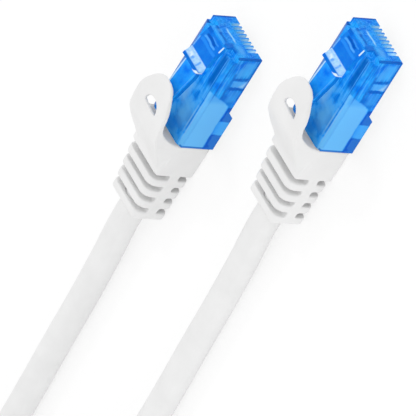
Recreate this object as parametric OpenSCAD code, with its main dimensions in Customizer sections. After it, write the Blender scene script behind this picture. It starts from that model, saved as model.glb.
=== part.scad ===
// Patch cable, two modular plugs on one round cord, millimetres.
// +Y is the way a plug goes into its socket, +Z is the latch side, +X is across the plug.
// The origin is on the floor, in the middle of the two plugs and their boots.

/* [Node] */
// which node is drawn

/* [Plug] */
// width of a plug across its contacts
plug_w = 11.68; // [11.5:0.01:11.8]
// length of a plug from its front face to its back face
plug_len = 22.1; // [20:0.1:24]
// height of the back half of a plug
plug_h = 7.91; // [7.5:0.01:8.2]
// how far the front half's underside is above the back half's
front_up = 1.37; // [1:0.01:1.6]
// length of the front half
front_len = 13.08; // [12:0.01:14]
// height at which the front corners step back
ledge_z = 6.5; // [6:0.05:7]
// depth of the front corners' step
ledge_d = 1.08; // [0.8:0.01:1.4]
// distance between contacts
contact_pitch = 1.016; // [1.016:0.001:1.02]
// width of a contact slot
slot_w = 0.62; // [0.5:0.01:0.7]

/* [Latch] */
// width of the latch up to its shoulder
latch_w = 6.03; // [5.9:0.01:6.2]
// width of the tab behind the shoulder
tab_w = 4.4; // [4:0.1:5]
// where the tab ends, behind the front face
tab_end = 14.8; // [14:0.1:15]

/* [Boot] */
// length of the boot behind the plug
boot_len = 19.5; // [18:0.1:24]
// distance between the flex slots
rib_pitch = 2.75; // [2.5:0.05:3]
// width of a flex slot
rib_gap = 1.15; // [0.9:0.05:1.3]
// top of the hood over the latch tip
hood_top = 14.1; // [13.9:0.05:14.5]

/* [Cord] */
// outside diameter of the cord
cord_d = 5.5; // [5:0.1:6]
// height of the cord's axis where it leaves the boot
cord_z = 3.8; // [3.6:0.05:4]
// bend radius of the hank's folds
fold_r = 17; // [16.5:0.1:20]
// straight half length at the hank's waist
waist_y = 3.2; // [2:0.1:8]
// height from one layer of the hank to the next
layer_z = 6.1; // [6:0.05:6.6]
// width of the tie round the hank
tie_w = 8; // [6:0.5:12]

/* [Placing] */
// distance between the two plugs, across
plug_gap_x = 30; // [24:1:40]
// how far plug b is ahead of plug a
stagger = 27.7; // [0:0.05:40]

/* [Hidden] */
plug_hw = plug_w / 2;
boot_end = plug_len + boot_len;
ax = -plug_gap_x / 2;
ay = (boot_end - stagger) / 2;
bx = plug_gap_x / 2;
by = ay + stagger;
hinge_y = -1.0;
hinge_z = 8.3;
cord_r = cord_d / 2;
wire_r = 0.48;
wire_bore = 0.525;
wire_low = 3.4;
wire_high = 4.2;
blue = [0.1, 0.5, 0.95];
pale = [0.9, 0.9, 0.9];
gold = [0.9, 0.72, 0.3];

// smooth curve through points, n steps a span
function cat(p0, p1, p2, p3, t) = 0.5 * ((2 * p1) + (p2 - p0) * t
    + (2 * p0 - 5 * p1 + 4 * p2 - p3) * t * t + (3 * p1 - p0 - 3 * p2 + p3) * t * t * t);
function smooth(p, n) = [for (i = [0:len(p) - 2], k = [0:n - 1])
    cat(p[max(i - 1, 0)], p[i], p[i + 1], p[min(i + 2, len(p) - 1)], k / n), p[len(p) - 1]];

// ring of a swept tube at point q, heading along d, a corner straight down
function unit(v) = v / norm(v);
function ring(q, d, r, n) = let (s = unit(cross(d, [0, 0, 1])), u = cross(s, unit(d)))
    [for (k = [0:n - 1]) let (a = 90 + 360 * k / n) q + r * (cos(a) * s + sin(a) * u)];
function heading(p, i) = let (a = p[max(i - 1, 0)], b = p[min(i + 1, len(p) - 1)]) unit(b - a);

// one closed tube along the points p, its end faces square to d0 and d1
module tube(p, r, n, d0, d1) {
    m = len(p);
    pts = [for (i = [0:m - 1]) each
        ring(p[i], i == 0 ? d0 : i == m - 1 ? d1 : heading(p, i), r, n)];
    side = [for (i = [0:m - 2], k = [0:n - 1]) let (a = i * n + k, b = i * n + (k + 1) % n)
        each [[a, a + n, b], [b, a + n, b + n]]];
    polyhedron(points = pts, faces = concat(side,
        [for (k = [1:n - 2]) [0, k, k + 1]],
        [for (k = [1:n - 2]) [(m - 1) * n, (m - 1) * n + k + 1, (m - 1) * n + k]]));
}

// rectangle with top corners of radius r and bottom corners of radius q
module round_rect(w, h, r, q) {
    for (x = [-1, 1]) {
        translate([x * (w / 2 - r), h / 2 - r]) circle(r = r, $fn = 48);
        translate([x * (w / 2 - q), q - h / 2]) circle(r = q, $fn = 48);
    }
    translate([r - w / 2, 0]) square([w - 2 * r, h / 2]);
    translate([q - w / 2, -h / 2]) square([w - 2 * q, h / 2]);
    translate([-w / 2, q - h / 2]) square([w, h - r - q]);
}

// a side profile [y, z] drawn across the width w
module across(p, w) {
    rotate([90, 0, 90]) translate([0, 0, -w / 2]) linear_extrude(w) polygon(p);
}

// a section [x, z] drawn from y0 to y1
module along(y0, y1) {
    translate([0, y1, 0]) rotate([90, 0, 0]) linear_extrude(y1 - y0) children();
}

module slab(x0, x1, y0, y1, z0, z1) {
    translate([x0, y0, z0]) cube([x1 - x0, y1 - y0, z1 - z0]);
}

module rod_y(x, z, r, y0, y1) {
    translate([x, y1, z]) rotate([90, 0, 0]) cylinder(h = y1 - y0, r = r, $fn = 24);
}

// the clear body, with its contact slots, conductor bores, cable cavity and bar window
module plug_housing() {
    color(blue) difference() {
        across([[0, front_up], [0, plug_h], [-plug_len, plug_h], [-plug_len, 0],
                [-front_len - 1.18, 0], [-front_len, front_up]], plug_w);
        for (s = [-1, 1]) {
            // long top edges
            translate([s * plug_hw, 1, plug_h]) rotate([90, 0, 0]) linear_extrude(plug_len + 2)
                polygon([[-s * 1.05, 0], [-s * 1.05, 1], [s, 1], [s, -0.63], [0, -0.63]]);
            // front corners
            translate([s > 0 ? latch_w / 2 : -plug_hw - 1, -ledge_d, ledge_z])
                cube([plug_hw - latch_w / 2 + 1, 3, 3]);
        }
        // round seat of the latch root
        translate([-latch_w / 2 - 0.1, hinge_y, hinge_z]) rotate([0, 90, 0])
            cylinder(h = latch_w + 0.2, r = 0.63, $fn = 48);
        for (i = [0:7]) let (x = (i - 3.5) * contact_pitch, z = i % 2 == 0 ? wire_low : wire_high) {
            slab(x - slot_w / 2, x + slot_w / 2, -7.6, 1, front_up - 1, 2.9);
            slab(x - slot_w / 2, x + slot_w / 2, -0.8, 1, front_up - 1, 3.6);
            slab(x - slot_w / 2, x + slot_w / 2, -6.7, -1.3, 2.5, z);
            rod_y(x, z, wire_bore, -11, -1.15);
        }
        slab(-4.35, 4.35, -plug_len - 1, -10.2, 0.95, 6.65);
        slab(-3.5, 3.5, -20.1, -16.4, -1, 1.2);
    }
}

// side profile of the latch: nose, ramp, crest and shoulder
nose = [[-0.35, 8.12], [-0.08, 8.25], [0, 8.45], [-0.35, 8.62], [-1.3, 8.95], [-2.7, 9.5],
        [-4, 9.72], [-5.1, 9.85], [-6.2, 10.6], [-6.5, 10.86], [-6.8, 11.0], [-7.0, 11.0],
        [-7.05, 9.15], [-5, 8.82], [-2.7, 8.45], [-1.5, 8.16]];
tab = [[-6.4, 9.3], [-6.4, 10.1], [-7.1, 10.3], [-9.5, 10.72], [-12.5, 11.35], [-14.2, 11.8],
       [-tab_end, 11.9], [-tab_end - 0.02, 10.95], [-13.6, 10.55], [-12.5, 10.3], [-9.5, 9.65],
       [-7.1, 9.2]];

// the sprung tab over the plug
module latch() {
    color(blue) union() {
        across(nose, latch_w);
        intersection() {
            across(tab, tab_w + 1);
            translate([0, 0, 8]) linear_extrude(6) polygon([[-tab_w / 2, -6], [tab_w / 2, -6],
                [tab_w / 2, -9], [1.75, -tab_end + 0.6], [1.3, -tab_end], [-1.3, -tab_end],
                [-1.75, -tab_end + 0.6], [-tab_w / 2, -9]]);
        }
        translate([-latch_w / 2, hinge_y, hinge_z]) rotate([0, 90, 0])
            cylinder(h = latch_w, r = 0.55, $fn = 48);
    }
}

// eight contacts, each with a round front corner and two teeth into its conductor
module contact_blades() {
    color(gold) for (i = [0:7])
        let (x = (i - 3.5) * contact_pitch, z = (i % 2 == 0 ? wire_low : wire_high)) {
            translate([x, 0, 0]) across([[-1.7, 2.3], [-1.45, 2.0], [-1.45, 2.7], [-1.6, 2.85],
                [-2.1, z - 0.2], [-2.5, z + 0.1], [-2.9, z - 0.6], [-5.1, z - 0.6],
                [-5.5, z + 0.1], [-5.9, z - 0.2], [-6.5, 2.85], [-6.5, 1.8], [-1.9, 1.8]], 0.4);
        }
}

// the comb that spaces the conductors
module load_bar() {
    color([0.8, 0.85, 0.9]) difference() {
        slab(-4.2, 4.2, -13.3, -10.5, 2.5, 5.1);
        for (i = [0:7]) rod_y((i - 3.5) * contact_pitch, i % 2 == 0 ? wire_low : wire_high,
            wire_bore, -14, -10);
    }
}

// conductor number i, from its blade to the inside of the jacket
module wire(i) {
    x = (i - 3.5) * contact_pitch;
    z = i % 2 == 0 ? wire_low : wire_high;
    q = [(floor(i / 2) - 1.5) * 1.03, cord_z + (i % 2 == 0 ? -0.6 : 0.6)];
    tube([[x, -1.25, z], [x, -7, z], [x, -13.4, z], [(3 * x + q[0]) / 4, -14.1, (3 * z + q[1]) / 4],
          [(x + 3 * q[0]) / 4, -15.1, (z + 3 * q[1]) / 4], [q[0], -15.8, q[1]],
          [q[0], -17.4, q[1]]], wire_r, 10, [0, -1, 0], [0, -1, 0]);
}
module wire_pair(i, j, c) {
    color(c) union() {
        wire(i);
        wire(j);
    }
}

// the bar pressed up against the jacket from below
module strain_bar() {
    color(blue) difference() {
        union() {
            slab(-3.42, 3.42, -20.02, -16.48, 0.25, 1.0);
            slab(-2.2, 2.2, -18.9, -17.5, 0.95, 1.55);
        }
        rod_y(0, cord_z, cord_r, -21, -16);
    }
}

// the jacket from the wires to the boot's back
module jacket_end() {
    color(pale) difference() {
        rod_y(0, cord_z, cord_r, -boot_end, -16);
        rod_y(0, cord_z, 2.25, -boot_end + 8, -15);
    }
}

// slices of the boot between its flex slots: [y0, y1, width, height, top radius, bottom radius]
rib_y = [for (i = [0:3]) -30.35 - i * rib_pitch];
ribs = [[rib_y[1], rib_y[0], 10.65, 8.55, 1.9, 1.4], [rib_y[2], rib_y[1], 10.4, 8.15, 1.85, 1.35],
        [rib_y[3], rib_y[2], 10.2, 7.75, 1.8, 1.3], [-boot_end, rib_y[3], 10.0, 7.4, 1.8, 1.2]];
hood_side = concat(
    smooth([[-30.2, 7.9], [-28.9, 8.45], [-27.3, 9.3], [-25, 11.15], [-22, 13.15], [-19.4, 13.85],
            [-16, hood_top], [-12.5, 13.8], [-11.3, 13.5]], 5),
    smooth([[-11.05, 13.3], [-11.3, 13.0], [-12.5, 13.0], [-16, 13.15], [-18.3, 13.0],
            [-19.6, 12.5], [-20.6, 11.4], [-21.4, 10.1], [-21.85, 8.9], [-22.05, 7.95],
            [-22.12, 6.5]], 4));
hood_half = smooth([[0, -11.1], [1.55, -11.4], [2.85, -12.25], [3.9, -13.6], [4.75, -15.1],
                    [5.25, -16.6], [5.4, -18.2], [5.45, -19.8], [5.6, -21.2], [5.84, -22.6]], 4);

// the soft boot: tapered body, four flex slots, and the hood with its half round hole
module boot() {
    color(pale) difference() {
        union() {
            intersection() {
                along(-30.4, -plug_len) translate([0, 4.2]) round_rect(plug_w, 8.4, 1.4, 1.2);
                linear_extrude(20) polygon([[-plug_hw, -plug_len], [plug_hw, -plug_len],
                    [plug_hw, -23.5], [5.2, -30.4], [-5.2, -30.4], [-plug_hw, -23.5]]);
                across([[-31, -1], [-31, 8.4], [-26, 8.4], [-23.6, 7.95], [-plug_len, 7.95],
                    [-plug_len, -1]], 20);
            }
            for (i = [0:2]) along(ribs[i][0], ribs[i][1] + 0.01) translate([0, ribs[i][3] / 2])
                round_rect(ribs[i][2], ribs[i][3], ribs[i][4], ribs[i][5]);
            intersection() {
                along(ribs[3][0], ribs[3][1] + 0.01) translate([0, ribs[3][3] / 2])
                    round_rect(ribs[3][2], ribs[3][3], ribs[3][4], ribs[3][5]);
                linear_extrude(20) polygon([[-6, -30], [6, -30], [6, -39.8], [5.0, -39.8],
                    [4.86, -40.5], [4.45, -41.1], [3.85, -41.5], [3.2, -41.6], [-3.2, -41.6],
                    [-3.85, -41.5], [-4.45, -41.1], [-4.86, -40.5], [-5.0, -39.8], [-6, -39.8]]);
                across([[-30, -1], [-40.1, -1], [-40.1, 0], [-40.75, 0.14], [-41.25, 0.5],
                    [-41.52, 1.0], [-41.6, 1.6], [-41.6, 5.6], [-41.5, 6.25], [-41.1, 6.85],
                    [-40.5, 7.26], [-39.8, 7.4], [-39.8, 9], [-30, 9]], 20);
            }
            // hood
            intersection() {
                across(hood_side, plug_w + 2);
                linear_extrude(20) polygon(concat(hood_half,
                    [[5.75, -24], [5.4, -25.6], [4.8, -27.6], [3.6, -30.4], [-3.6, -30.4],
                     [-4.8, -27.6], [-5.4, -25.6], [-5.75, -24]],
                    [for (i = [len(hood_half) - 1:-1:1]) [-hood_half[i][0], hood_half[i][1]]]));
            }
            // spigot in the back of the plug
            slab(-4.25, 4.25, -plug_len - 0.1, -20.5, 1.05, 6.55);
        }
        rod_y(0, cord_z, cord_r + 0.05, -boot_end - 1, -20);
        // flex slots: over the top and round its corners, then the lower corners and floor
        for (y = rib_y) {
            slab(-8, 8, y - rib_gap / 2, y + rib_gap / 2, 4.85, 12);
            slab(-8, 8, y - rib_gap / 2, y + rib_gap / 2, -1, 2.75);
        }
        // half round hole, thinned from below, with a shallow scoop behind it
        translate([0.1, -17.95, 10.5]) rotate([0, 0, -7]) intersection() {
            translate([0, -0.1, 0]) cylinder(h = 6, r = 2.3, $fn = 48);
            translate([-5, 0, 0]) cube([10, 5, 6]);
        }
        slab(-4.2, 4.2, -19.3, -15.6, 12, 13.35);
        translate([0, -17.9, 13.72 + 7]) rotate([87, 0, 0]) cylinder(h = 4, r = 7, $fn = 96);
    }
}

// where the cord lies: from each boot along the floor to the hank, and through the hank
run_a = [[-15, -34.65, 3.8], [-15, -38.2, 3.78], [-14.95, -42.2, 3.5], [-14.85, -46.8, 3.1],
         [-14.7, -52, 2.85], [-14.4, -58.5, 2.75], [-14, -68, 2.75], [-13.4, -79, 2.75],
         [-13.1, -88, 2.75], [-13.5, -98, 2.75], [-14.4, -108, 2.75], [-14.95, -118, 2.75],
         [-15, -126, 2.75], [-15, -127.2, 2.75]];
run_b = [[15, -6.95, 3.8], [15, -10.5, 3.78], [15.05, -14.5, 3.5], [15.15, -19.1, 3.1],
         [15.3, -24.3, 2.85], [15.6, -30.8, 2.75], [16, -40.3, 2.75], [16.6, -51.3, 2.75],
         [17.2, -60, 3.2], [17.8, -69, 5.2], [18.3, -79, 9.2], [18.7, -90, 14.3],
         [18.95, -102, 18.6], [19, -112, 20.6], [19, -120, 21.05], [19, -127.2, 21.05]];
hank_x = 2;
hank_top = -132.7;
waist_x = 3.05;
fold_a = acos((waist_x + fold_r) / (2 * fold_r));
fold_y = waist_y + sqrt(4 * fold_r * fold_r - pow(waist_x + fold_r, 2));
hank_y = hank_top - fold_y;
arc = fold_r * fold_a * PI / 180;
half_len = fold_r * PI + 4 * arc + 2 * waist_y;
hank_len = 6 * half_len - PI * fold_r;
deg = 180 / PI / fold_r;
function half(s) = s < arc ? [fold_r * cos(180 + s * deg), fold_y + fold_r * sin(180 + s * deg)]
    : s < 2 * arc ? [-waist_x - fold_r + fold_r * cos(fold_a - (s - arc) * deg),
        waist_y + fold_r * sin(fold_a - (s - arc) * deg)]
    : s < 2 * arc + 2 * waist_y ? [-waist_x, waist_y - (s - 2 * arc)]
    : s < 3 * arc + 2 * waist_y ? let (a = (s - 2 * arc - 2 * waist_y) * deg)
        [-waist_x - fold_r + fold_r * cos(-a), -waist_y + fold_r * sin(-a)]
    : let (a = 180 - fold_a + (s - 3 * arc - 2 * waist_y) * deg)
        [fold_r * cos(a), -fold_y + fold_r * sin(a)];
// the climb along the right-hand run, and a small lift over the tie at the waist
function ease(t) = let (u = min(max(t, 0), 1)) u * u * (3 - 2 * u);
climb_len = 64;
run_len = 4 * arc + 2 * waist_y;
function height(s) = let (t = s - 2 * half_len * floor(s / (2 * half_len)))
    cord_r + layer_z * (floor(s / (2 * half_len))
    + ease((t - half_len - (run_len - climb_len) / 2) / climb_len));
function lift(y) = 0.8 * (1 - ease(abs(y) / 14));
function hank_pt(s) = let (t = s - 2 * half_len * floor(s / (2 * half_len)),
    q = t < half_len ? half(t) : -half(t - half_len))
    [hank_x + q[0], hank_y + q[1], height(s) + (abs(q[0]) < 6 ? lift(q[1]) : 0)];
hank_step = 2 * half_len / 24;
hank_n = floor(hank_len / hank_step);
hank_path = concat([[hank_x - fold_r, hank_top + cord_d, cord_r]],
    [for (i = [0:hank_n]) hank_pt(i * hank_step)],
    hank_len - hank_n * hank_step > 3 ? [hank_pt(hank_len)] : [],
    [[hank_x + fold_r, hank_top + cord_d, cord_r + 3 * layer_z]]);

// least gap of the hank to itself, on fine points more than two diameters apart along it
fine = [for (s = [0:3:hank_len]) hank_pt(s)];
gap = min([for (i = [0:len(fine) - 1], j = [i + 6:1:len(fine) - 1])
    norm(fine[i] - fine[j])]) - cord_d;
function path_len(p) = len(p) < 2 ? 0 : [for (i = 0, s = 0; i < len(p); s = s + (i + 1 < len(p)
    ? norm(p[i + 1] - p[i]) : 0), i = i + 1) s][len(p) - 1];
echo(hank_gap = gap, hank_len = hank_len, hank_y = hank_y, fold_y = fold_y,
     run_a_len = path_len(run_a), run_b_len = path_len(run_b),
     cord_len = hank_len + 2 * cord_d + path_len(run_a) + path_len(run_b), rings = len(hank_path));

module cable_run(p) {
    color(pale) tube(p, cord_r, 10, [0, -1, 0], [0, -1, 0]);
}
module cable_hank() {
    color(pale) tube(hank_path, cord_r, 6, [0, -1, 0], [0, 1, 0]);
}

// the strap round the hank's waist
module hank_tie() {
    color([0.2, 0.2, 0.2]) translate([hank_x, hank_y, 11.55])
        along(-tie_w / 2, tie_w / 2) difference() {
            round_rect(13.2, 22.9, 2.4, 2.4);
            round_rect(12.0, 21.7, 1.8, 1.8);
        }
}

module at_a() { translate([ax, ay, 0]) children(); }
module at_b() { translate([bx, by, 0]) children(); }

at_a() plug_housing();  // plug_housing_a
at_a() latch();  // latch_a
at_a() contact_blades();  // contact_blades_a
at_a() load_bar();  // load_bar_a
at_a() wire_pair(4, 3, [0.2, 0.3, 0.8]);  // wire_pair_blue_a
at_a() wire_pair(7, 6, [0.9, 0.5, 0.2]);  // wire_pair_orange_a
at_a() wire_pair(5, 2, [0.2, 0.6, 0.3]);  // wire_pair_green_a
at_a() wire_pair(1, 0, [0.5, 0.3, 0.2]);  // wire_pair_brown_a
at_a() strain_bar();  // strain_bar_a
at_a() jacket_end();  // jacket_end_a
at_a() boot();  // boot_a
at_b() plug_housing();  // plug_housing_b
at_b() latch();  // latch_b
at_b() contact_blades();  // contact_blades_b
at_b() load_bar();  // load_bar_b
at_b() wire_pair(4, 3, [0.2, 0.3, 0.8]);  // wire_pair_blue_b
at_b() wire_pair(7, 6, [0.9, 0.5, 0.2]);  // wire_pair_orange_b
at_b() wire_pair(5, 2, [0.2, 0.6, 0.3]);  // wire_pair_green_b
at_b() wire_pair(1, 0, [0.5, 0.3, 0.2]);  // wire_pair_brown_b
at_b() strain_bar();  // strain_bar_b
at_b() jacket_end();  // jacket_end_b
at_b() boot();  // boot_b
cable_run(run_a);  // cable_run_a
cable_run(run_b);  // cable_run_b
cable_hank();
hank_tie();
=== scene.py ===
import math

import bmesh
import bpy
from mathutils import Matrix, Vector


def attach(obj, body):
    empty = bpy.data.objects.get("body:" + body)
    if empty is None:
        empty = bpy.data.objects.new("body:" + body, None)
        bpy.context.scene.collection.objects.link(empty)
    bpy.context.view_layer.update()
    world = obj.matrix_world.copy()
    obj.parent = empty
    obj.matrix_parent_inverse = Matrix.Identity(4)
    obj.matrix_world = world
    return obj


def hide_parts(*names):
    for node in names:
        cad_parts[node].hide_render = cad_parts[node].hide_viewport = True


# The assembly as it was packed.
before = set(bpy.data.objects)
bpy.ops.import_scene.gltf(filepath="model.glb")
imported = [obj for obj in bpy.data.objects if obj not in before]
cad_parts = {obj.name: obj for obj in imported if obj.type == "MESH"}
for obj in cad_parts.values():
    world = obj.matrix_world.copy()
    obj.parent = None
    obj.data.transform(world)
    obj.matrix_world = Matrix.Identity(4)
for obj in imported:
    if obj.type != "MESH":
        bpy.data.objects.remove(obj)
scene = bpy.context.scene
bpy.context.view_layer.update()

# Camera. A long lens far off, turned on its side, so that the two plugs point up
# and to the right and the latches face left.
camera_right = Vector((0.4129, 0.4543, -0.7895)).normalized()
camera_back = Vector((0.5930, 0.5240, 0.6116)).normalized()
camera_up = camera_back.cross(camera_right).normalized()
camera_right = camera_up.cross(camera_back).normalized()
aim = Vector((-0.00235, -0.02322, 0.0))
view_width = 0.07529
distance = 3.0
film_width = 36.0
camera = bpy.data.objects.new("camera", bpy.data.cameras.new("camera"))
camera.data.sensor_width = film_width
camera.data.lens = film_width * distance / view_width
camera.data.clip_start = 0.5
camera.data.clip_end = 20.0
place = Matrix((camera_right, camera_up, camera_back)).transposed().to_4x4()
place.translation = aim + camera_back * distance
camera.matrix_world = place
scene.collection.objects.link(camera)
scene.camera = camera
scene.view_settings.view_transform = "Standard"


# The cable, round and about 5.5 mm thick: four twisted pairs in a jacket of soft PVC,
# extruded over them. One length of 0.916 m runs from boot to boot, and its middle is
# folded into a hank of three loops.
def linear(hex_colour):
    parts = [int(hex_colour[i : i + 2], 16) / 255 for i in (1, 3, 5)]
    lin = [c / 12.92 if c <= 0.04045 else ((c + 0.055) / 1.055) ** 2.4 for c in parts]
    return (*lin, 1.0)


def add(tree, kind, links=(), **settings):
    node = tree.nodes.new(kind)
    for name, value in settings.items():
        if hasattr(node, name):
            setattr(node, name, value)
        else:
            node.inputs[name.replace("_", " ")].default_value = value
    for source, target in links:
        tree.links.new(source, node.inputs[target])
    return node


def new_material(name):
    material = bpy.data.materials.new(name)
    material.use_nodes = True
    material.node_tree.nodes.clear()
    return material, material.node_tree


# The route, in millimetres. Each end leaves its boot level, comes down to the floor and
# bends gently. The second one climbs again, on to the top of the hank.
mm = 0.001
cord_r = 2.75
run_a = [
    (-15, -34.65, 3.8), (-15, -38.2, 3.78), (-14.95, -42.2, 3.5), (-14.85, -46.8, 3.1),
    (-14.7, -52, 2.85), (-14.4, -58.5, 2.75), (-14, -68, 2.75), (-13.4, -79, 2.75),
    (-13.1, -88, 2.75), (-13.5, -98, 2.75), (-14.4, -108, 2.75), (-14.95, -118, 2.75),
    (-15, -126, 2.75),
]
run_b = [
    (15, -6.95, 3.8), (15, -10.5, 3.78), (15.05, -14.5, 3.5), (15.15, -19.1, 3.1),
    (15.3, -24.3, 2.85), (15.6, -30.8, 2.75), (16, -40.3, 2.75), (16.6, -51.3, 2.75),
    (17.2, -60, 3.2), (17.8, -69, 5.2), (18.3, -79, 9.2), (18.7, -90, 14.3),
    (18.95, -102, 18.6), (19, -112, 20.6), (19, -120, 21.05), (19, -127.2, 21.05),
]

# The hank, in millimetres: three loops, narrowed to a straight waist where the tie goes
# round them. There the cable is lifted a little over the tie's strap.
hank_x = 2.0  # its middle
hank_top = -132.7  # centre of its near fold
waist_x = 3.05  # from its middle to each of the two runs at the waist
waist_y = 3.2  # half the length of the waist
fold_r = 17.0  # bend radius of the folds
layer_z = 6.1  # height from one loop to the next
climb_len = 64.0  # length of the climb between them
loops = 3
lift_z, lift_x, lift_y = 0.8, 6, 14  # the lift, and how far round the waist it reaches
hank_steps = 112
fold_a = math.acos((waist_x + fold_r) / (2 * fold_r))
fold_y = waist_y + math.sqrt(4 * fold_r**2 - (waist_x + fold_r) ** 2)
hank_y = hank_top - fold_y
arc = fold_r * fold_a
half_len = fold_r * math.pi + 4 * arc + 2 * waist_y
hank_len = 2 * loops * half_len - math.pi * fold_r
run_len = 4 * arc + 2 * waist_y


def ease(t):
    t = min(max(t, 0.0), 1.0)
    return t * t * (3 - 2 * t)


# half a loop: in from the near fold, along the waist, out again and round the far fold
def half_loop(s):
    if s < arc:
        a = math.pi + s / fold_r
        return fold_r * math.cos(a), fold_y + fold_r * math.sin(a)
    if s < 2 * arc:
        a = fold_a - (s - arc) / fold_r
        return -waist_x - fold_r + fold_r * math.cos(a), waist_y + fold_r * math.sin(a)
    if s < 2 * arc + 2 * waist_y:
        return -waist_x, waist_y - (s - 2 * arc)
    if s < 3 * arc + 2 * waist_y:
        a = -(s - 2 * arc - 2 * waist_y) / fold_r
        return -waist_x - fold_r + fold_r * math.cos(a), -waist_y + fold_r * math.sin(a)
    a = math.pi - fold_a + (s - 3 * arc - 2 * waist_y) / fold_r
    return fold_r * math.cos(a), -fold_y + fold_r * math.sin(a)


# the second half of a loop is the first turned half round, and climbs on its way back
def hank_point(s):
    loop = math.floor(s / (2 * half_len))
    t = s - 2 * half_len * loop
    x, y = half_loop(t) if t < half_len else [-c for c in half_loop(t - half_len)]
    climb = ease((t - half_len - (run_len - climb_len) / 2) / climb_len)
    z = cord_r + layer_z * (loop + climb)
    if abs(x) < lift_x:
        z += lift_z * (1 - ease(abs(y) / lift_y))
    return hank_x + x, hank_y + y, z


hank = [hank_point(hank_len * i / hank_steps) for i in range(hank_steps + 1)]
route = run_a + hank + run_b[::-1]
curve = bpy.data.curves.new("cable", "CURVE")
curve.dimensions = "3D"
curve.resolution_u = 6
curve.bevel_depth = cord_r
curve.bevel_resolution = 8
curve.use_fill_caps = True
line = curve.splines.new("BEZIER")
line.bezier_points.add(len(route) - 1)
for point, (x, y, z) in zip(line.bezier_points, route):
    point.co = (x * mm, y * mm, z * mm)
    point.handle_left_type = point.handle_right_type = "AUTO"
    point.radius = mm
cable = bpy.data.objects.new("cable", curve)
scene.collection.objects.link(cable)
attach(cable, "cable")
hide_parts("cable_run_a", "cable_run_b", "cable_hank")

# Soft PVC, extruded: an even satin skin with faint waves about 4.5 mm long, where the pairs
# press on it from inside. Its grain is 0.1 mm on the real one, and drawn 0.4 mm across, so
# that it shows.
jacket_pvc, tree = new_material("jacket_pvc")
place = add(tree, "ShaderNodeTexCoord")
grain = add(tree, "ShaderNodeTexNoise", [(place.outputs["Object"], "Vector")], Scale=1000 / 0.4)
waves = add(tree, "ShaderNodeTexNoise", [(place.outputs["Object"], "Vector")], Scale=220.0)
shades = add(tree, "ShaderNodeMixRGB", [(waves.outputs["Fac"], "Fac")],
             Color1=linear("#DEDEDE"), Color2=linear("#EAEAEA"))
bump = add(tree, "ShaderNodeBump", [(grain.outputs["Fac"], "Height")],
           Strength=0.06, Distance=0.00005)
skin = add(tree, "ShaderNodeBsdfPrincipled",
           [(shades.outputs["Color"], "Base Color"), (bump.outputs["Normal"], "Normal")],
           Roughness=0.5)
add(tree, "ShaderNodeOutputMaterial", [(skin.outputs[0], "Surface")])
curve.materials.append(jacket_pvc)

# Floor and light: a sheet of white card under an even sky. A small soft box stands over the
# far side of the plugs, and a wide and dimmer one beside the near side.
floor = bpy.data.objects.new("floor", bpy.data.meshes.new("floor"))
mesh = bmesh.new()
bmesh.ops.create_grid(mesh, x_segments=1, y_segments=1, size=3.0)
mesh.to_mesh(floor.data)
mesh.free()
scene.collection.objects.link(floor)

# White card, pressed smooth: matt, with soft and faint shadows, because three quarters of
# what is seen of it is plain white. In the plugs and the gold all of it is plain white.
white_card, tree = new_material("white_card")
sheet = add(tree, "ShaderNodeBsdfDiffuse", Color=linear("#FCFCFC"))
white = add(tree, "ShaderNodeEmission", Color=linear("#FFFFFF"), Strength=1.0)
ray = add(tree, "ShaderNodeLightPath")
plain = add(tree, "ShaderNodeMath", [(ray.outputs["Is Camera Ray"], 0)], operation="MULTIPLY")
plain.inputs[1].default_value = 0.75
for shown in ("Is Glossy Ray", "Is Transmission Ray"):
    plain = add(tree, "ShaderNodeMath", [(plain.outputs[0], 0), (ray.outputs[shown], 1)],
                operation="MAXIMUM")
paper = add(tree, "ShaderNodeMixShader",
            [(plain.outputs[0], 0), (sheet.outputs[0], 1), (white.outputs[0], 2)])
add(tree, "ShaderNodeOutputMaterial", [(paper.outputs[0], "Surface")])
floor.data.materials.append(white_card)

# the sky is white where it is seen, and lights the cable a little less brightly
world = bpy.data.worlds.new("studio")
scene.world = world
world.use_nodes = True
tree = world.node_tree
tree.nodes.clear()
ray = add(tree, "ShaderNodeLightPath")
plain = add(tree, "ShaderNodeMath", [(ray.outputs["Is Camera Ray"], 0),
                                     (ray.outputs["Is Glossy Ray"], 1)], operation="MAXIMUM")
plain = add(tree, "ShaderNodeMath", [(plain.outputs[0], 0),
                                     (ray.outputs["Is Transmission Ray"], 1)],
            operation="MAXIMUM")
sky = add(tree, "ShaderNodeBackground", Color=linear("#FFFFFF"), Strength=0.97)
card = add(tree, "ShaderNodeBackground", Color=linear("#FFFFFF"), Strength=1.0)
mixed = add(tree, "ShaderNodeMixShader",
            [(plain.outputs[0], 0), (sky.outputs[0], 1), (card.outputs[0], 2)])
add(tree, "ShaderNodeOutputWorld", [(mixed.outputs[0], "Surface")])

for name, size, power, where in (
        ("soft_box", 0.18, 1.2, (-0.593, 0.377, 0.71)),
        ("fill_box", 0.8, 1.6, (0.95, -0.45, 0.3))):
    lamp = bpy.data.objects.new(name, bpy.data.lights.new(name, "AREA"))
    lamp.data.shape = "SQUARE"
    lamp.data.size = size
    lamp.data.energy = power
    lamp.location = where
    lamp.rotation_euler = (-lamp.location).to_track_quat("-Z", "Y").to_euler()
    scene.collection.objects.link(lamp)


# The plugs' bodies, each with its latch and its strain bar: clear blue polycarbonate,
# injection moulded in one shot. The latch bends at its root, and the strain bar is pushed
# down on to the cable's jacket.
def dress(node, material):
    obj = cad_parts[node]
    obj.data.materials.clear()
    obj.data.materials.append(material)
    return obj


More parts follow.
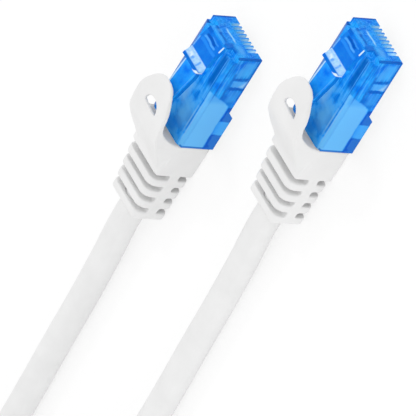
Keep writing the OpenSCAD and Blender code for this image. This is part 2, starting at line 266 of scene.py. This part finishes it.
# Where a patch of painted light, painted shade and tone lies, in millimetres from the middle
# of the plug's front face, at its underside. Small letters are places in the plug, and capitals
# are the same places swirled with the resin. Each of the others comes from two of them.
contact_pitch = 1.016
measures = (
    # distance from the middle
    ("side", "ABSOLUTE", "x", 0), ("SIDE", "ABSOLUTE", "X", 0),
    # oblique cuts of the side
    ("half_z", "MULTIPLY", "Z", 0.5), ("slant", "SUBTRACT", "Y", "half_z"),
    ("most_y", "MULTIPLY", "Y", 0.9), ("lean", "ADD", "Z", "most_y"),
    # height over the latch's tab, distance from its two tapering edges, its root and shoulder
    ("rise", "MULTIPLY", "y", 0.19), ("tilt", "ADD", "z", "rise"),
    ("taper", "MULTIPLY", "y", -0.087), ("edge", "SUBTRACT", "taper", "x"),
    ("near", "ADD", "taper", "x"),
    ("fall", "MULTIPLY", "y", 0.35), ("root", "ADD", "z", "fall"),
    ("steep", "MULTIPLY", "y", 1.5), ("across", "SUBTRACT", "x", "steep"),
    # distance from the middle of the nearest contact slot, in pitches
    ("pitch", "DIVIDE", "x", contact_pitch), ("cell", "FRACT", "pitch", 0),
    ("offset", "SUBTRACT", "cell", 0.5), ("slot", "ABSOLUTE", "offset", 0),
)
# each limit: what it is measured along, its low end, its high end and how wide it fades
flank = ("side", 5.4, None, 0.1)
top = ("z", 8.0, None, 0.08)
crest = ("z", 9.85, None, 0.05)
face = ("y", -0.35, None, 0.05)
deck = ("z", 7.75, 8.05, 0.1)
# each patch: its colour, how much of it, and the limits that it lies within; most are painted
# light and shade
patches = (
    # painted light on the top towards the cable, where the boot's hood shades it, and fine lines
    # drawn along the whole body
    ("#1498FF", 0.7, (("Y", None, -9.5, 1.5), deck)),
    ("#006CD8", 0.6, (("haze", None, 0.46, 0.05), ("Y", None, -9.5, 1.5), deck)),
    ("#58B4FF", 0.5, (("haze", 0.54, None, 0.05), ("Y", None, -9.5, 1.5), deck)),
    ("#70C0FF", 0.3, (("grain", 0.57, None, 0.03), ("z", None, 8.0, 0.1),
                      ("Y", -11.5, None, 1.5))),
    ("#0058C0", 0.35, (("grain", None, 0.43, 0.03), ("z", None, 8.0, 0.1),
                       ("Y", -11.5, None, 1.5))),
    # sides, front half: painted light and shade, pale windows between the blades' solid bars,
    # over a dark foot
    ("#0866D2", 0.8, (("slant", -12.7, -11.2, 0.3), ("Z", 2.2, 5.3, 0.2), flank)),
    ("#3C9CF4", 0.6, (("Y", -10.4, -7.8, 0.3), ("Z", 1.9, 4.1, 0.4), flank)),
    ("#4CB0FF", 0.7, (("Y", -4.2, -0.9, 0.4), ("Z", 2.0, 4.5, 0.4), flank)),
    ("#58B0FA", 0.8, (("Y", -6.8, -5.4, 0.15), ("Z", 1.6, 4.7, 0.3), flank)),
    ("#A8D8FF", 0.7, (("Y", -6.7, -5.1, 0.2), ("lean", None, -3.0, 0.4), ("Z", 1.4, 3.2, 0.2),
                      flank)),
    ("#005CC8", 0.9, (("Y", -7.55, -6.9, 0.12), ("Z", 1.3, 5.2, 0.2), flank)),
    ("#005CC8", 0.8, (("Y", -5.3, -4.65, 0.12), ("Z", 2.0, 5.2, 0.2), flank)),
    ("#0060CC", 0.75, (("Y", -9.8, -3.7, 0.3), ("Z", 4.9, 5.45, 0.15), flank)),
    ("#005CC8", 0.7, (("Y", -9.8, -0.6, 0.3), ("Z", None, 1.8, 0.15), flank)),
    # painted light where it would shine through the thin wall beside the cable's hollow, cut off
    # obliquely towards the front, and painted shade on two solid corners under it
    ("#6CC0FF", 1.0, (("SIDE", 5.1, None, 0.1), ("Z", 2.6, None, 0.15),
                      ("slant", None, -12.7, 0.2))),
    ("#3CA0F8", 0.5, (("Y", -10.9, None, 0.5), ("slant", None, -12.6, 0.2),
                      ("Z", 2.6, None, 0.15), flank)),
    ("#0060D0", 0.2, (("z", 7.0, 7.3, 0.1), ("y", -21.5, -10.0, 0.5), flank)),
    ("#0060D0", 0.6, (("z", 7.0, 7.3, 0.08), ("y", -10.0, -1.0, 0.5), flank)),
    ("#40A4FF", 0.9, (("Z", None, 2.4, 0.15), ("Y", -18.6, -15.1, 0.2), flank)),
    ("#0862CC", 0.8, (("y", None, -21.65, 0.08), flank)),
    ("#0058CD", 1.0, (("Z", None, 2.4, 0.15), ("Y", -15.3, -11.8, 0.2),
                      ("side", 5.1, None, 0.1))),
    ("#0058CD", 1.0, (("Z", None, 2.4, 0.15), ("Y", -23.0, -18.4, 0.2),
                      ("side", 5.1, None, 0.1))),
    # front face: painted shade on its edges and in bands under the latch, and painted light in a
    # streak and on a pale corner
    ("#0058C0", 0.9, (("side", 5.43, None, 0.07), face)),
    ("#0058C4", 0.8, (("Z", 6.95, 7.55, 0.15), ("X", -3.8, 1.3, 0.3), face)),
    ("#005CC8", 0.75, (("Z", 5.9, 8.2, 0.4), ("X", 1.6, 4.2, 0.4), face)),
    ("#5CB0FA", 0.7, (("Z", 4.4, 5.6, 0.3), ("X", 2.4, 4.6, 0.5), face)),
    ("#50A8F8", 0.6, (("z", 6.8, 7.7, 0.2), ("x", -2.1, -1.3, 0.15), face)),
    ("#48A8FC", 0.8, (("Z", 7.75, 8.4, 0.1), ("x", -4.0, 1.9, 0.2), face)),
    ("#98D4FF", 1.0, (("Z", 5.0, 5.4, 0.12), ("X", -2.3, 1.4, 0.4), face)),
    # walls of the contact slots, with painted light where they are open below
    ("#48B4FF", 1.0, (("slot", None, 0.35, 0.01), ("z", None, 3.7, 0.05),
                      ("side", None, 4.15, 0.05), ("y", -7.75, None, 0.05))),
    ("#DCF4FF", 1.0, (("slot", None, 0.31, 0.04), ("z", None, 2.75, 0.6),
                      ("side", None, 4.15, 0.05), ("y", -7.75, None, 0.05))),
    # top of the body: painted light over the cable's hollow, painted shade over the blades and on
    # its far edge
    ("#68BCFF", 0.7, (("X", 0.9, 4.3, 1.1), ("Y", -18.8, -13.8, 1.3), deck)),
    ("#78C0FF", 0.75, (("X", None, 0.9, 0.6), ("Y", -15.4, -11.0, 0.7), deck)),
    ("#0080F4", 0.7, (("X", None, 2.5, 0.5), ("Y", -21.6, -19.3, 0.4), deck)),
    ("#0054B8", 0.9, (("X", 3.2, 4.8, 0.4), ("Y", -8.2, -0.9, 0.9), deck)),
    ("#0054B8", 1.0, (("x", None, -4.78, 0.04), ("z", 7.0, None, 0.1))),
    # painted highlights and painted shade in light and dark lines along its near edge
    ("#88C8FF", 0.8, (("x", 5.05, 5.22, 0.05), ("y", -19.5, -11.5, 1.5),
                      ("z", 7.05, None, 0.05))),
    ("#88C8FF", 0.7, (("x", 4.4, 4.72, 0.1), ("y", -18.5, -13.0, 1.5), ("z", 7.05, None, 0.05))),
    ("#60B0FF", 0.6, (("x", 4.62, 4.74, 0.05), ("y", -13.0, -1.5, 1.0), ("z", 7.05, None, 0.05))),
    ("#0060CC", 0.6, (("x", 4.82, 4.94, 0.05), ("y", -18.0, -1.0, 1.0), ("z", 7.05, None, 0.05))),
    # latch, front half: painted shade, dark and even, with painted light and shade in a groove
    # and bars across its root, and painted highlights on its far edge and its near corner
    ("#0868D4", 0.7, (("y", -5.1, -0.2, 0.1), top)),
    ("#3098F8", 0.6, (("Y", -2.75, -2.25, 0.12), ("X", -2.5, 2.8, 0.2), top)),
    ("#60B8FF", 0.75, (("Y", -2.0, -1.65, 0.1), ("X", -2.2, 1.7, 0.2), top)),
    ("#0050B4", 0.9, (("Y", -1.55, -1.05, 0.1), ("X", -2.0, 1.2, 0.2), top)),
    ("#48A4F8", 0.7, (("Y", -1.0, -0.78, 0.08), ("X", -0.5, 1.8, 0.2), top)),
    ("#005CC8", 0.7, (("y", -0.85, -0.1, 0.08), ("x", None, -1.5, 0.2), top)),
    ("#78C0FF", 0.8, (("y", -4.9, -2.6, 0.15), ("x", None, -2.7, 0.08), ("z", 9.3, None, 0.1))),
    ("#D8F2FF", 1.0, (("y", -1.45, -0.15, 0.08), ("x", 2.75, None, 0.05),
                      ("root", 8.4, None, 0.05))),
    # latch, its ramp: a pale painted reflection of the lamp, broken by blue flecks, and painted
    # shade on the crest behind it
    ("#0062CC", 0.8, (("y", -7.1, -6.4, 0.06), ("z", 10.4, None, 0.1))),
    ("#B4DCF8", 0.95, (("y", -6.35, -5.05, 0.08), crest)),
    ("#E8F8FF", 0.8, (("Y", -6.2, -5.6, 0.15), ("X", -2.1, -1.0, 0.2), crest)),
    ("#3C98F4", 0.8, (("Y", -6.25, -5.8, 0.12), ("X", -1.0, -0.4, 0.15), crest)),
    ("#3C98F4", 0.8, (("Y", -6.35, -5.3, 0.12), ("X", 1.05, 1.45, 0.1), crest)),
    ("#2890FF", 0.35, (("y", -6.35, -5.05, 0.08), ("speck", None, 0.45, 0.15), crest)),
    # latch, its tab: painted highlights along both edges, painted shade down its side, and a
    # painted glint at the shoulder
    ("#0060CC", 0.9, (("y", -14.2, -7.15, 0.05), ("tilt", None, 8.8, 0.05),
                      ("z", 9.0, None, 0.1))),
    ("#C0E6FF", 1.0, (("edge", 2.62, 3.1, 0.06), ("y", -13.2, -7.2, 0.3),
                      ("tilt", 8.8, None, 0.05))),
    ("#60B4FF", 0.6, (("near", 2.6, 2.8, 0.05), ("y", -13.2, -7.6, 0.4),
                      ("tilt", 8.8, None, 0.05))),
    ("#E4F6FF", 1.0, (("across", 12.1, 13.0, 0.12), ("y", -7.6, -6.5, 0.1),
                      ("z", 9.9, None, 0.1))),
)


# Clear blue polycarbonate, moulded in a polished tool: glossy and see-through, with soft
# waves of flow. Its pale and dark patches are painted light and shade, where its thick and thin
# walls would bend the light, and fine lighter and darker lines are drawn along it. Each face is
# milky where it is seen from outside and clear behind.
# Flow is about 3 mm across, clouds 2 mm, flecks 0.6 mm, and drawn lines 0.4 mm by 6 mm.
def blue_polycarbonate(end, x, y):
    material, tree = new_material("clear_blue_polycarbonate_" + end)
    place = add(tree, "ShaderNodeTexCoord")
    local = add(tree, "ShaderNodeMapping", [(place.outputs["Object"], "Vector")],
                Scale=(1000, 1000, 1000), Location=(-x, -y, 0)).outputs[0]
    flow = add(tree, "ShaderNodeTexNoise", [(local, "Vector")], Scale=0.35)
    bump = add(tree, "ShaderNodeBump", [(flow.outputs["Fac"], "Height")],
               Strength=0.15, Distance=0.0001)
    cloud = add(tree, "ShaderNodeTexNoise", [(local, "Vector")], Scale=0.45, Detail=3.0)
    speck = add(tree, "ShaderNodeTexNoise", [(local, "Vector")], Scale=1.6)
    drawn = add(tree, "ShaderNodeMapping", [(local, "Vector")], Scale=(2.6, 0.16, 2.6))
    grain = add(tree, "ShaderNodeTexNoise", [(drawn.outputs[0], "Vector")],
                Scale=1.0, Detail=2.0)
    swirl = add(tree, "ShaderNodeMixRGB", [(local, "Color1"), (cloud.outputs["Color"], "Color2")],
                blend_type="LINEAR_LIGHT", Fac=0.35)
    sharp = add(tree, "ShaderNodeSeparateXYZ", [(local, "Vector")]).outputs
    soft = add(tree, "ShaderNodeSeparateXYZ", [(swirl.outputs[0], "Vector")]).outputs
    along = {"x": sharp["X"], "y": sharp["Y"], "z": sharp["Z"],
             "X": soft["X"], "Y": soft["Y"], "Z": soft["Z"],
             "speck": speck.outputs["Fac"], "grain": grain.outputs["Fac"],
             "haze": cloud.outputs["Fac"]}
    for name, kind, first, second in measures:
        links = [(along[v], i) for i, v in enumerate((first, second)) if v in along]
        node = add(tree, "ShaderNodeMath", links, operation=kind)
        if second not in along:
            node.inputs[1].default_value = second
        along[name] = node.outputs[0]

    shades = add(tree, "ShaderNodeMapRange", [(cloud.outputs["Fac"], "Value")],
                 From_Min=0.34, From_Max=0.64)
    colour = add(tree, "ShaderNodeMixRGB", [(shades.outputs[0], "Fac")],
                 Color1=linear("#0074F0"), Color2=linear("#28A4FF"))
    # a patch is the product of one slope for each end of each of its limits
    for hexcode, amount, limits in patches:
        mask = None
        for name, low, high, fade in limits:
            for at, half in ((low, fade), (high, -fade)):
                if at is None:
                    continue
                slope = add(tree, "ShaderNodeMapRange", [(along[name], "Value")],
                            From_Min=at - half, From_Max=at + half,
                            To_Max=1.0 if mask else amount)
                if mask:
                    slope = add(tree, "ShaderNodeMath", [(mask, 0), (slope.outputs[0], 1)],
                                operation="MULTIPLY")
                mask = slope.outputs[0]
        colour = add(tree, "ShaderNodeMixRGB", [(mask, "Fac"), (colour.outputs[0], "Color1")],
                     Color2=linear(hexcode))

    clear = add(tree, "ShaderNodeBsdfPrincipled",
                [(bump.outputs["Normal"], "Normal"), (bump.outputs["Normal"], "Coat Normal")],
                Base_Color=linear("#30BFFF"), Roughness=0.03, IOR=1.22, Transmission_Weight=1.0,
                Coat_Weight=0.12, Coat_Roughness=0.05, Coat_IOR=1.5)
    milky = add(tree, "ShaderNodeBsdfPrincipled",
                [(colour.outputs[0], "Base Color"), (bump.outputs["Normal"], "Normal")],
                Roughness=0.08, IOR=1.45, Specular_IOR_Level=0.03)
    skin = add(tree, "ShaderNodeNewGeometry")
    share = add(tree, "ShaderNodeMapRange", [(skin.outputs["Backfacing"], "Value")],
                To_Min=0.88, To_Max=0.0)
    body = add(tree, "ShaderNodeMixShader",
               [(share.outputs[0], 0), (clear.outputs[0], 1), (milky.outputs[0], 2)])
    # its shadow is faint, and so is what it does to light that bounces off the pieces beside it,
    # except in the last 5 mm, where bounced light through it is dimmed to grey as painted shade
    # under the boot's hood
    ray = add(tree, "ShaderNodeLightPath")
    tint = add(tree, "ShaderNodeBsdfTransparent", Color=linear("#F8FCFF"))
    lit = add(tree, "ShaderNodeMixShader",
              [(ray.outputs["Is Shadow Ray"], 0), (body.outputs[0], 1), (tint.outputs[0], 2)])
    dim = add(tree, "ShaderNodeBsdfTransparent", Color=linear("#A8A8AA"))
    rear = add(tree, "ShaderNodeMapRange", [(along["y"], "Value")],
               From_Min=-14.5, From_Max=-17.0)
    bounced = add(tree, "ShaderNodeMixShader",
                  [(rear.outputs[0], 0), (tint.outputs[0], 1), (dim.outputs[0], 2)])
    lit = add(tree, "ShaderNodeMixShader",
              [(ray.outputs["Is Diffuse Ray"], 0), (lit.outputs[0], 1),
               (bounced.outputs[0], 2)])
    add(tree, "ShaderNodeOutputMaterial", [(lit.outputs[0], "Surface")])
    return material


# The mould's corners are barely broken: 0.15 mm, and 0.2 mm on the latch. Points nearer than
# a thousandth of a millimetre are one.
same_point = 1e-6
for end, x, y in (("a", -15.0, 6.95), ("b", 15.0, 34.65)):
    blue = blue_polycarbonate(end, x, y)
    for piece, width in (("plug_housing_", 0.15), ("latch_", 0.2), ("strain_bar_", 0.15)):
        obj = dress(piece + end, blue)
        weld = obj.modifiers.new("weld", "WELD")
        weld.merge_threshold = same_point
        flat = obj.modifiers.new("flat", "DECIMATE")
        flat.decimate_type = "DISSOLVE"
        flat.angle_limit = math.radians(1)
        corner = obj.modifiers.new("corner", "BEVEL")
        corner.width = width * mm
        corner.segments = 2
        corner.limit_method = "ANGLE"
        corner.angle_limit = math.radians(35)
        corner.use_clamp_overlap = True

# The contacts: eight blades in each plug, stamped from phosphor bronze strip and gold
# plated. Each is pressed down through its conductor's skin, in its own slot.

# Gold plate on bronze: bright and even, with fine lines from the die every 0.25 mm and a
# redder tone in hollows about 1.4 mm wide.
gold_plate, tree = new_material("gold_plate")
place = add(tree, "ShaderNodeTexCoord")
lines = add(tree, "ShaderNodeTexNoise", [(place.outputs["Object"], "Vector")], Scale=1000 / 0.25)
tone = add(tree, "ShaderNodeTexNoise", [(place.outputs["Object"], "Vector")], Scale=700.0)
shades = add(tree, "ShaderNodeMixRGB", [(tone.outputs["Fac"], "Fac")],
             Color1=linear("#DDB052"), Color2=linear("#F0CE7A"))
gloss = add(tree, "ShaderNodeMapRange", [(lines.outputs["Fac"], "Value")],
            To_Min=0.18, To_Max=0.34)
bump = add(tree, "ShaderNodeBump", [(lines.outputs["Fac"], "Height")],
           Strength=0.1, Distance=0.00002)
metal = add(tree, "ShaderNodeBsdfPrincipled",
            [(shades.outputs[0], "Base Color"), (gloss.outputs[0], "Roughness"),
             (bump.outputs["Normal"], "Normal")], Metallic=1.0)
add(tree, "ShaderNodeOutputMaterial", [(metal.outputs[0], "Surface")])
for end in "ab":
    dress("contact_blades_" + end, gold_plate)

# The load bars: a comb of clear polycarbonate in each plug, injection moulded. The eight
# conductors are threaded through it in their order before it goes into the body.

# Clear polycarbonate, moulded: see-through with a cold tinge, and clouded a little by flow
# marks about 1.5 mm long.
clear_polycarbonate, tree = new_material("clear_polycarbonate")
place = add(tree, "ShaderNodeTexCoord")
flow = add(tree, "ShaderNodeTexNoise", [(place.outputs["Object"], "Vector")], Scale=650.0)
shades = add(tree, "ShaderNodeMixRGB", [(flow.outputs["Fac"], "Fac")],
             Color1=linear("#BCD4EE"), Color2=linear("#E0EEFA"))
bump = add(tree, "ShaderNodeBump", [(flow.outputs["Fac"], "Height")],
           Strength=0.1, Distance=0.0001)
plastic = add(tree, "ShaderNodeBsdfPrincipled",
              [(shades.outputs[0], "Base Color"), (bump.outputs["Normal"], "Normal")],
              Roughness=0.2, IOR=1.585, Transmission_Weight=0.7)
add(tree, "ShaderNodeOutputMaterial", [(plastic.outputs[0], "Surface")])
for end in "ab":
    dress("load_bar_" + end, clear_polycarbonate)

# The eight conductors: copper wires, each with a skin of polyethylene extruded over it. They
# are four pairs, and each pair is one wire in its colour and one in white with a stripe.

# Polyethylene, extruded: smooth, satin and a little waxy, with a grain of 0.2 mm. One finish
# serves a pair, so its stripes break the colour up about every 1 mm.
for pair, colour in (("blue", "#2F57C8"), ("orange", "#E8842C"), ("green", "#3C9A4C"),
                     ("brown", "#7A4B2C")):
    polyethylene, tree = new_material("polyethylene_" + pair)
    place = add(tree, "ShaderNodeTexCoord")
    stripe = add(tree, "ShaderNodeTexNoise", [(place.outputs["Object"], "Vector")],
                 Scale=1000 / 1.0)
    shades = add(tree, "ShaderNodeMixRGB", [(stripe.outputs["Fac"], "Fac")],
                 Color1=linear(colour), Color2=linear("#FFFFFF"))
    grain = add(tree, "ShaderNodeTexNoise", [(place.outputs["Object"], "Vector")],
                Scale=1000 / 0.2)
    bump = add(tree, "ShaderNodeBump", [(grain.outputs["Fac"], "Height")],
               Strength=0.05, Distance=0.00002)
    skin = add(tree, "ShaderNodeBsdfPrincipled",
               [(shades.outputs["Color"], "Base Color"), (bump.outputs["Normal"], "Normal")],
               Roughness=0.4, IOR=1.51)
    add(tree, "ShaderNodeOutputMaterial", [(skin.outputs[0], "Surface")])
    for end in "ab":
        dress("wire_pair_%s_%s" % (pair, end), polyethylene)

# The ends of the jacket, inside the plugs and the boots: the same soft PVC as outside. It is
# cut square where the pairs fan out to the load bar, and the strain bar holds it.
for end in "ab":
    dress("jacket_end_" + end, jacket_pvc)

# The boots: soft PVC, moulded in one piece and pushed on behind each plug. Four rows of
# slots let them flex, and a hood over the latch's tip keeps it from catching.

# Soft PVC, moulded in a spark-eroded tool: satin, and very slightly clouded in patches about
# 7 mm wide. Its grain is 0.1 mm on the real one, and drawn 0.55 mm across, so that it shows.
boot_pvc, tree = new_material("boot_pvc")
place = add(tree, "ShaderNodeTexCoord")
grain = add(tree, "ShaderNodeTexNoise", [(place.outputs["Object"], "Vector")], Scale=1800.0)
cloud = add(tree, "ShaderNodeTexNoise", [(place.outputs["Object"], "Vector")], Scale=150.0)
shades = add(tree, "ShaderNodeMixRGB", [(cloud.outputs["Fac"], "Fac")],
             Color1=linear("#DEDEDE"), Color2=linear("#EAEAEA"))
bump = add(tree, "ShaderNodeBump", [(grain.outputs["Fac"], "Height")],
           Strength=0.08, Distance=0.00005)
skin = add(tree, "ShaderNodeBsdfPrincipled",
           [(shades.outputs["Color"], "Base Color"), (bump.outputs["Normal"], "Normal")],
           Roughness=0.5)
add(tree, "ShaderNodeOutputMaterial", [(skin.outputs[0], "Surface")])

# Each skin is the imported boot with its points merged, remeshed at 0.2 mm and smoothed, which
# rounds every corner a little, as in soft plastic.
for end in "ab":
    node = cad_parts["boot_" + end]
    name = "boot_skin_" + end
    boot_skin = bpy.data.objects.new(name, bpy.data.meshes.new(name))
    mesh = bmesh.new()
    mesh.from_mesh(node.data)
    bmesh.ops.remove_doubles(mesh, verts=mesh.verts, dist=same_point)
    mesh.to_mesh(boot_skin.data)
    mesh.free()
    scene.collection.objects.link(boot_skin)
    fine_mesh = boot_skin.modifiers.new("fine_mesh", "REMESH")
    fine_mesh.mode = "VOXEL"
    fine_mesh.voxel_size = 0.0002
    fine_mesh.use_smooth_shade = True
    soften = boot_skin.modifiers.new("soften", "SMOOTH")
    soften.factor = 0.5
    soften.iterations = 6
    boot_skin.data.materials.append(boot_pvc)
    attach(boot_skin, "cable")
    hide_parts("boot_" + end)

# The tie: a strap of hook and loop tape, woven from nylon, that goes once round the waist of
# the hank and grips its own end.

# Nylon, woven: matt and nearly black, with threads that cross in rows and a nap of 0.33 mm.
# The threads are 0.4 mm apart on the real one, and drawn 1.2 mm apart, so that they show.
tie_nylon, tree = new_material("tie_nylon")
place = add(tree, "ShaderNodeTexCoord")
weft = add(tree, "ShaderNodeTexWave", [(place.outputs["Object"], "Vector")],
           bands_direction="Y", Scale=262.0, Distortion=0.4)
warp = add(tree, "ShaderNodeTexWave", [(place.outputs["Object"], "Vector")],
           bands_direction="DIAGONAL", Scale=524.0, Distortion=0.4)
weave = add(tree, "ShaderNodeMath", [(weft.outputs["Fac"], 0), (warp.outputs["Fac"], 1)],
            operation="MULTIPLY")
nap = add(tree, "ShaderNodeTexNoise", [(place.outputs["Object"], "Vector")], Scale=3000.0)
height = add(tree, "ShaderNodeMath", [(weave.outputs[0], 0), (nap.outputs["Fac"], 1)],
             operation="ADD")
shades = add(tree, "ShaderNodeMixRGB", [(weave.outputs[0], "Fac")],
             Color1=linear("#202022"), Color2=linear("#3E3E42"))
bump = add(tree, "ShaderNodeBump", [(height.outputs[0], "Height")],
           Strength=0.6, Distance=0.0002)
skin = add(tree, "ShaderNodeBsdfPrincipled",
           [(shades.outputs[0], "Base Color"), (bump.outputs["Normal"], "Normal")],
           Roughness=0.85, Sheen_Weight=0.2, Sheen_Roughness=0.5)
add(tree, "ShaderNodeOutputMaterial", [(skin.outputs[0], "Surface")])
dress("hank_tie", tie_nylon)
